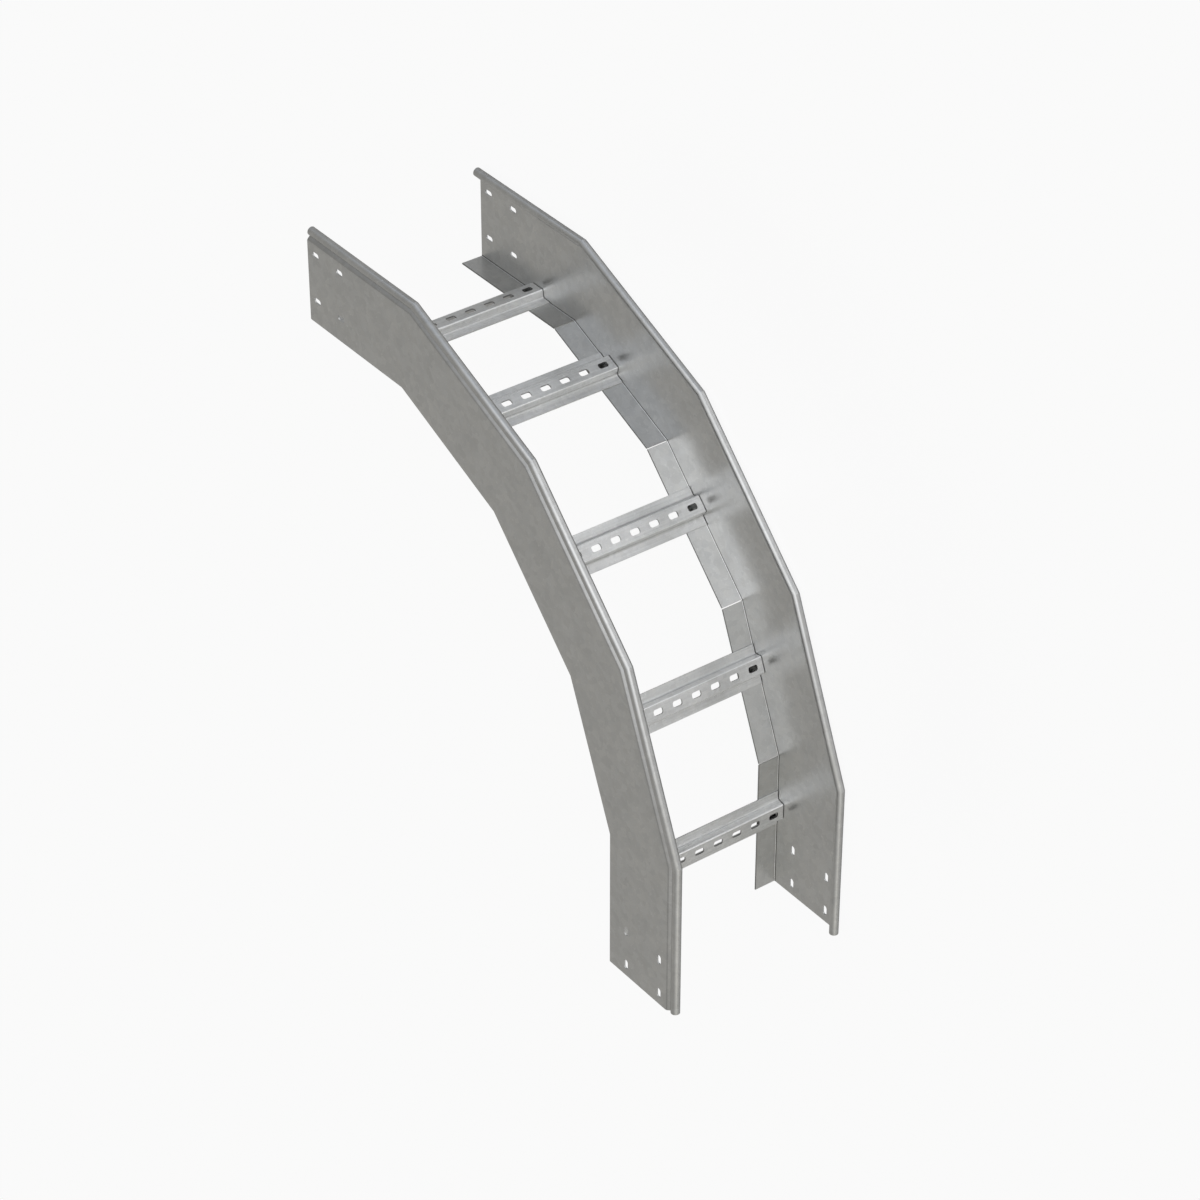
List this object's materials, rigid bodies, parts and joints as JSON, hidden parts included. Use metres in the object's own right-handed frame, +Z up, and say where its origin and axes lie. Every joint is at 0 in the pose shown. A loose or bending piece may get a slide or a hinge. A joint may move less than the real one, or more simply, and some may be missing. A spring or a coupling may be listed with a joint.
{
  "type": "cable ladder vertical outside bend",
  "caption": "Right-angle vertical outside bend for a galvanised steel cable ladder: flanged side rails with beaded edges, joined by slotted hat-section rungs.",
  "frame": {"origin": "on the floor under the middle of the bend's outline, as it lies on its right side rail", "axes": "+Z up from the right rail to the left rail, -X out of the first leg's end, -Y out of the second leg's end"},
  "size_m": [0.572, 0.572, 0.2],
  "materials": {
    "galvanised_rail": "satin",
    "galvanised_rung": "satin"
  },
  "bodies": {
    "root": {"side_rail_right": "galvanised_rail", "side_rail_left": "galvanised_rail", "rung_1": "galvanised_rung", "rung_2": "galvanised_rung", "rung_3": "galvanised_rung", "rung_4": "galvanised_rung", "rung_5": "galvanised_rung"}
  },
  "joints": []
}
